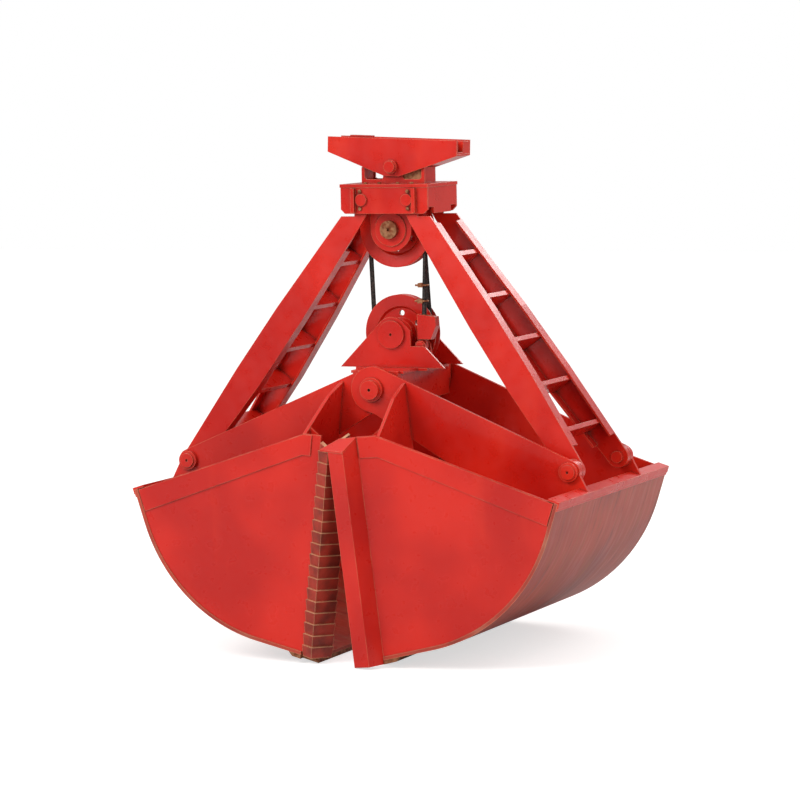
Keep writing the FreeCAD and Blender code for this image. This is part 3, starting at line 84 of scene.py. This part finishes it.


# ---- node helpers -------------------------------------------------------------
class Finish:
    """A material's node tree, with short calls for the nodes that the finishes share."""

    def __init__(self, name):
        self.material = bpy.data.materials.new(name)
        self.material.use_nodes = True
        self.tree = self.material.node_tree
        self.tree.nodes.clear()
        self.place = self.node("ShaderNodeTexCoord").outputs["Object"]

    def node(self, kind, inputs=None, **settings):
        made = self.tree.nodes.new(kind)
        for name, value in settings.items():
            setattr(made, name, value)
        for name, value in (inputs or {}).items():
            if isinstance(value, bpy.types.NodeSocket):
                self.tree.links.new(value, made.inputs[name])
            else:
                made.inputs[name].default_value = value
        return made

    def stretched(self, scale):
        return self.node("ShaderNodeMapping", {"Vector": self.place, "Scale": scale}).outputs[0]

    def noise(self, scale, detail=3.0, stretch=None, distortion=0.0):
        place = self.stretched(stretch) if stretch else self.place
        return self.node("ShaderNodeTexNoise", {"Vector": place, "Scale": scale, "Detail": detail,
                                                "Distortion": distortion}).outputs["Fac"]

    def span(self, value, low, high, start=0.0, end=1.0):
        return self.node("ShaderNodeMapRange", {"Value": value, "From Min": low, "From Max": high,
                                                "To Min": start, "To Max": end},
                         interpolation_type="SMOOTHSTEP").outputs["Result"]

    def math(self, operation, a, b=0.0):
        return self.node("ShaderNodeMath", {0: a, 1: b}, operation=operation).outputs[0]

    def mix(self, factor, a, b):
        made = self.node("ShaderNodeMix", data_type="RGBA")
        ends = ((made.inputs[0], factor), (made.inputs[6], a), (made.inputs[7], b))
        for socket, value in ends:
            if isinstance(value, bpy.types.NodeSocket):
                self.tree.links.new(value, socket)
            elif isinstance(value, float):
                socket.default_value = value
            else:
                socket.default_value = (*value, 1.0)
        return made.outputs[2]

    def edges(self, radius):
        """1 on sharp edges, 0 on flat faces."""
        bevel = self.node("ShaderNodeBevel", {"Radius": radius}, samples=6)
        geometry = self.node("ShaderNodeNewGeometry")
        dot = self.node("ShaderNodeVectorMath", {0: bevel.outputs[0], 1: geometry.outputs["Normal"]},
                        operation="DOT_PRODUCT")
        return self.span(dot.outputs["Value"], 0.995, 0.90)

    def shade_in_corners(self, distance):
        """1 where faces meet closely, 0 in the open: the mask for painted shade in corners."""
        occlusion = self.node("ShaderNodeAmbientOcclusion", {"Distance": distance}, samples=6)
        return self.span(occlusion.outputs["AO"], 0.75, 0.25)

    def up(self):
        normal = self.node("ShaderNodeNewGeometry").outputs["Normal"]
        return self.node("ShaderNodeSeparateXYZ", {0: normal}).outputs["Z"]

    def bump(self, height, distance, strength=1.0, onto=None):
        inputs = {"Height": height, "Distance": distance, "Strength": strength}
        if onto is not None:
            inputs["Normal"] = onto
        return self.node("ShaderNodeBump", inputs).outputs["Normal"]

    def surface(self, **inputs):
        names = {"base": "Base Color", "metal": "Metallic", "rough": "Roughness", "normal": "Normal",
                 "specular": "Specular IOR Level", "coat": "Coat Weight", "coat_rough": "Coat Roughness"}
        given = {}
        for name, value in inputs.items():
            given[names[name]] = (*value, 1.0) if isinstance(value, tuple) else value
        shader = self.node("ShaderNodeBsdfPrincipled", given)
        out = self.node("ShaderNodeOutputMaterial")
        self.tree.links.new(shader.outputs[0], out.inputs[0])
        return self.material


def painted(name, base=RED, deep=DEEP_RED, wear_and_highlight=LIT_RUBBED_EDGE_COLOUR):
    """Sprayed enamel on welded plate: thick and glossy, thin and lighter at the edges with a painted
    highlight, painted shade in the corners.
    """
    f = Finish(name)
    colour = f.mix(f.span(f.noise(1.7, 2.0), 0.35, 0.70), base, deep)
    streak = f.noise(5.0, 4.0, stretch=(1.0, 1.0, 0.16))
    colour = f.mix(f.span(streak, 0.52, 0.85, 0.0, 0.5), colour, SUN_RED)
    # lighter edges: rubbed paint broken up by noise, and a painted highlight
    rubbed_lit_edge = f.math("MULTIPLY", f.edges(LIT_RUBBED_EDGE_WIDTH), f.span(f.noise(9.0, 5.0), 0.30, 0.62, 0.15, 1.0))
    colour = f.mix(f.math("MULTIPLY", rubbed_lit_edge, 0.55), colour, wear_and_highlight)
    # painted shade: darker, browner corners where faces meet
    colour = f.mix(f.math("MULTIPLY", f.shade_in_corners(CORNER_SHADE_REACH), 0.75), colour, CORNER_SHADE)
    rough = f.span(f.noise(14.0, 4.0), 0.3, 0.75, 0.26, 0.42)
    soft = f.node("ShaderNodeBevel", {"Radius": ROUND_EDGE}, samples=4).outputs[0]
    wavy = f.bump(f.noise(2.6, 2.0), 0.012, 0.6, soft)
    peel = f.bump(f.noise(420.0, 2.0), 0.0004, 0.5, wavy)
    return f.surface(base=colour, rough=rough, normal=peel, specular=0.3, coat=0.25, coat_rough=0.10)


def rolled_plate_finish(name):
    """The rolled plates' paint, rubbed through around the roll; its brown tint and patches are partly
    wear and dust, partly a painted reflection of brown ground and painted shade.
    """
    f = Finish(name)
    paint = f.mix(f.span(f.noise(2.0, 3.0), 0.3, 0.7), PLATE_RED, PLATE_DEEP)
    # brown patches: partly rubbed paint, partly a painted reflection of brown ground
    scuff_and_reflection = f.noise(6.0, 6.0, stretch=(0.5, 5.0, 0.5), distortion=0.4)
    colour = f.mix(f.span(scuff_and_reflection, 0.48, 0.72, 0.0, 0.9), paint, PLATE_BROWN_RUB_AND_REFLECTION)
    # dark streaks across the rolled plates
    dark_streaks = f.noise(16.0, 4.0, stretch=(0.16, 1.0, 0.16))
    colour = f.mix(f.span(dark_streaks, 0.58, 0.74, 0.0, 0.65), colour, PLATE_DARK_STREAK)
    # lighter edges: a painted highlight with some rubbed paint
    colour = f.mix(f.math("MULTIPLY", f.edges(LIT_RUBBED_EDGE_WIDTH), 0.6), colour, LIT_RUBBED_EDGE_COLOUR)
    rough = f.span(scuff_and_reflection, 0.3, 0.8, 0.36, 0.6)
    normal = f.bump(scuff_and_reflection, 0.002, 0.5)
    return f.surface(base=colour, rough=rough, normal=normal, coat=0.15, coat_rough=0.25)


def steel(name, colour=STEEL, metal=0.85, rough=0.38):
    """Bare steel polished by the rope, with a rusty bloom."""
    f = Finish(name)
    bloom = f.mix(f.span(f.noise(38.0, 5.0), 0.35, 0.7), colour, RUST)
    shine = f.span(f.noise(60.0, 4.0), 0.3, 0.7, rough - 0.1, rough + 0.2)
    normal = f.bump(f.noise(160.0, 3.0), 0.0006, 0.5)
    return f.surface(base=bloom, metal=metal, rough=shine, normal=normal)


def greased_rope(name):
    """Near-black grease over wire."""
    f = Finish(name)
    colour = f.mix(f.span(f.noise(90.0, 4.0), 0.4, 0.75), GREASE, WIRE)
    normal = f.bump(f.noise(420.0, 2.0), 0.0008, 0.7)
    return f.surface(base=colour, metal=0.35, rough=0.42, normal=normal)


def tooth_paint(name):
    """Paint on the teeth, rubbed to tan steel on their tops; the tan on upward faces and edges is also a
    painted highlight from above.
    """
    f = Finish(name)
    paint = f.mix(f.span(f.noise(8.0, 4.0), 0.3, 0.7), TOOTH_RED, TOOTH_DARK)
    # tan on upward faces and edges: worn steel, and a painted highlight from above
    wear_and_highlight = f.math("MULTIPLY", f.span(f.up(), 0.25, 0.7), f.span(f.noise(24.0, 5.0), 0.25, 0.6, 0.5, 1.0))
    wear_and_highlight = f.math("MAXIMUM", wear_and_highlight, f.math("MULTIPLY", f.edges(TOOTH_RUB_AND_HIGHLIGHT), 0.8))
    colour = f.mix(wear_and_highlight, paint, TOOTH_TAN)
    rough = f.span(f.noise(40.0, 4.0), 0.3, 0.7, 0.42, 0.62)
    return f.surface(base=colour, rough=rough, normal=f.bump(f.noise(60.0, 5.0), 0.002, 0.6))


# ---- stage ---------------------------------------------------------------------
def aim_camera():
    """The drawn view, from the camera's place, its three turns and its lens."""
    camera = bpy.data.objects.new("camera", bpy.data.cameras.new("camera"))
    bpy.context.scene.collection.objects.link(camera)
    camera.data.lens = CAMERA_LENS
    camera.data.sensor_width = 36.0
    forward = Vector((-sin(CAMERA_YAW) * cos(CAMERA_PITCH), cos(CAMERA_YAW) * cos(CAMERA_PITCH),
                      -sin(CAMERA_PITCH)))
    level = Vector((cos(CAMERA_YAW), sin(CAMERA_YAW), 0.0))
    upright = level.cross(forward)
    right = level * cos(CAMERA_ROLL) + upright * sin(CAMERA_ROLL)
    top = upright * cos(CAMERA_ROLL) - level * sin(CAMERA_ROLL)
    turn = Matrix((right, top, -forward)).transposed().to_4x4()
    camera.matrix_world = Matrix.Translation(CAMERA_PLACE) @ turn
    bpy.context.scene.camera = camera


def soft_light(name, place, target, size, power):
    lamp = bpy.data.objects.new(name, bpy.data.lights.new(name, "AREA"))
    bpy.context.scene.collection.objects.link(lamp)
    lamp.data.shape = "RECTANGLE"
    lamp.data.size, lamp.data.size_y = size
    lamp.data.energy = power
    lamp.data.color = WHITE
    lamp.location = place
    lamp.rotation_euler = (Vector(target) - Vector(place)).to_track_quat("-Z", "Y").to_euler()


def white_world():
    """White where the camera looks past the grab, a grey horizon under a pale sky for the light."""
    world = bpy.data.worlds.new("studio")
    bpy.context.scene.world = world
    world.use_nodes = True
    tree = world.node_tree
    tree.nodes.clear()
    path = tree.nodes.new("ShaderNodeLightPath")
    seen = tree.nodes.new("ShaderNodeMath")
    seen.operation = "MAXIMUM"
    tree.links.new(path.outputs["Is Camera Ray"], seen.inputs[0])
    tree.links.new(path.outputs["Is Transmission Ray"], seen.inputs[1])
    place = tree.nodes.new("ShaderNodeTexCoord")
    split = tree.nodes.new("ShaderNodeSeparateXYZ")
    tree.links.new(place.outputs["Generated"], split.inputs[0])
    sky = tree.nodes.new("ShaderNodeValToRGB")
    sky.color_ramp.elements[0].position = 0.0
    sky.color_ramp.elements[0].color = (*HORIZON, 1.0)
    sky.color_ramp.elements[1].position = SKY_FROM
    sky.color_ramp.elements[1].color = (*SKY, 1.0)
    tree.links.new(split.outputs["Z"], sky.inputs[0])
    white = tree.nodes.new("ShaderNodeMix")
    white.data_type = "RGBA"
    white.inputs[7].default_value = (*WHITE, 1.0)
    tree.links.new(seen.outputs[0], white.inputs[0])
    tree.links.new(sky.outputs[0], white.inputs[6])
    background = tree.nodes.new("ShaderNodeBackground")
    tree.links.new(white.outputs[2], background.inputs["Color"])
    out = tree.nodes.new("ShaderNodeOutputWorld")
    tree.links.new(background.outputs[0], out.inputs[0])


def pale_floor():
    """White ground that keeps the grab's shadow and is lifted to white where the camera sees it."""
    half = FLOOR_SIZE / 2
    mesh = bpy.data.meshes.new("floor")
    mesh.from_pydata([(-half, -half, -FLOOR_DROP), (half, -half, -FLOOR_DROP), (half, half, -FLOOR_DROP),
                      (-half, half, -FLOOR_DROP)], [], [(0, 1, 2, 3)])
    floor = bpy.data.objects.new("floor", mesh)
    bpy.context.scene.collection.objects.link(floor)
    f = Finish("floor")
    diffuse = f.node("ShaderNodeBsdfDiffuse", {"Color": (*FLOOR_COLOUR, 1.0)})
    glow = f.node("ShaderNodeEmission", {"Color": (*WHITE, 1.0), "Strength": FLOOR_GLOW})
    none = f.node("ShaderNodeEmission", {"Strength": 0.0})
    path = f.node("ShaderNodeLightPath")
    lift = f.node("ShaderNodeMixShader", {0: path.outputs["Is Camera Ray"], 1: none.outputs[0],
                                          2: glow.outputs[0]})
    both = f.node("ShaderNodeAddShader", {0: diffuse.outputs[0], 1: lift.outputs[0]})
    out = f.node("ShaderNodeOutputMaterial")
    f.tree.links.new(both.outputs[0], out.inputs[0])
    mesh.materials.append(f.material)


# ---- the finishes go on --------------------------------------------------------------
def finishes():
    return {
        "red_paint": painted("red_paint"),
        "scuffed_plate": rolled_plate_finish("scuffed_plate"),
        "bare_steel": steel("bare_steel"),
        "wire_rope": greased_rope("wire_rope"),
        "bronze": steel("bronze", BRONZE, 0.9, 0.4),
        "tooth_paint": tooth_paint("tooth_paint"),
    }


def dress(finish):
    """Each CAD node takes the finish of its slot in the record."""
    for entry in frame["record"]["subparts"]:
        node = NODES[entry["node"]]
        node.data.materials.clear()
        node.data.materials.append(finish[entry["material_slot"]])


bpy.context.scene.view_settings.view_transform = "Standard"
aim_camera()
white_world()
pale_floor()
for light in LIGHTS:
    soft_light(*light)
dress(finishes())
